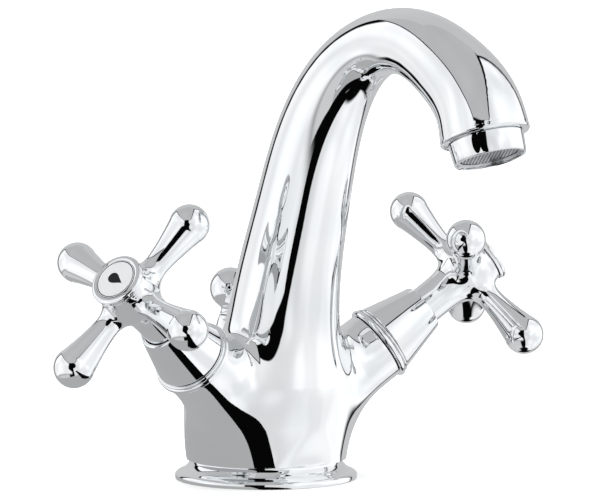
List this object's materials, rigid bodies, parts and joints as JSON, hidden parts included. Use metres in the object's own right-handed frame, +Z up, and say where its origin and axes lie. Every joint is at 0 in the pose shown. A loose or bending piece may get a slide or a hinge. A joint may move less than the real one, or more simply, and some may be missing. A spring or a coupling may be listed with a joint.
{
  "type": "basin mixer faucet",
  "caption": "Two-handle basin mixer with a fixed swan-neck spout, cross handles on fanned-out valves, a pop-up waste knob and an outlet aerator.",
  "frame": {"origin": "centre of the flat underside of the base flange, on the worktop", "axes": "+Z up; the spout reaches towards -Y; the hot valve is on the -X side and the cold valve on the +X side"},
  "size_m": [0.1828, 0.1584, 0.1568],
  "materials": {
    "chrome": "polished chrome plate on brass",
    "satin_chrome": "satin chrome with a dark engraved ring and drop",
    "brass": "machined brass",
    "steel": "stainless steel",
    "ceramic": "lapped alumina ceramic",
    "rubber": "black moulded rubber",
    "plastic": "moulded acetal"
  },
  "bodies": {
    "faucet_body": {"body_casting": "chrome", "base_oring": "rubber", "hot_collar_ring": "chrome", "hot_bonnet_sleeve": "chrome", "hot_cartridge_body": "brass", "hot_fixed_disc": "ceramic", "hot_seat_seal": "rubber", "hot_bonnet_oring": "rubber", "cold_collar_ring": "chrome", "cold_bonnet_sleeve": "chrome", "cold_cartridge_body": "brass", "cold_fixed_disc": "ceramic", "cold_seat_seal": "rubber", "cold_bonnet_oring": "rubber", "rod_bush": "plastic", "rod_oring": "rubber", "aerator_housing": "chrome", "aerator_washer": "rubber", "aerator_insert": "plastic", "aerator_screen": "steel"},
    "hot_handle": {"hot_cross_handle": "chrome", "hot_index_cap": "chrome", "hot_index_inlay": "satin_chrome", "hot_handle_screw": "steel", "hot_cartridge_spindle": "brass", "hot_spindle_circlip": "steel", "hot_spindle_oring": "rubber", "hot_moving_disc": "ceramic"},
    "cold_handle": {"cold_cross_handle": "chrome", "cold_index_cap": "chrome", "cold_index_inlay": "satin_chrome", "cold_handle_screw": "steel", "cold_cartridge_spindle": "brass", "cold_spindle_circlip": "steel", "cold_spindle_oring": "rubber", "cold_moving_disc": "ceramic"},
    "waste_lift": {"lift_knob": "chrome", "lift_rod": "steel"}
  },
  "joints": [
    {"name": "hot_valve_turn", "type": "hinge", "parent": "faucet_body", "child": "hot_handle", "pos_m": [-0.06751, -0.02077, 0.06573], "axis": [-0.7742, -0.2382, 0.5864], "range_deg": [0, 90]},
    {"name": "cold_valve_turn", "type": "hinge", "parent": "faucet_body", "child": "cold_handle", "pos_m": [0.06751, -0.02077, 0.06573], "axis": [0.7742, -0.2382, 0.5864], "range_deg": [-90, 0]},
    {"name": "waste_lift_slide", "type": "slide", "parent": "faucet_body", "child": "waste_lift", "axis": [0, 0, 1], "range_m": [0, 0.022]}
  ]
}
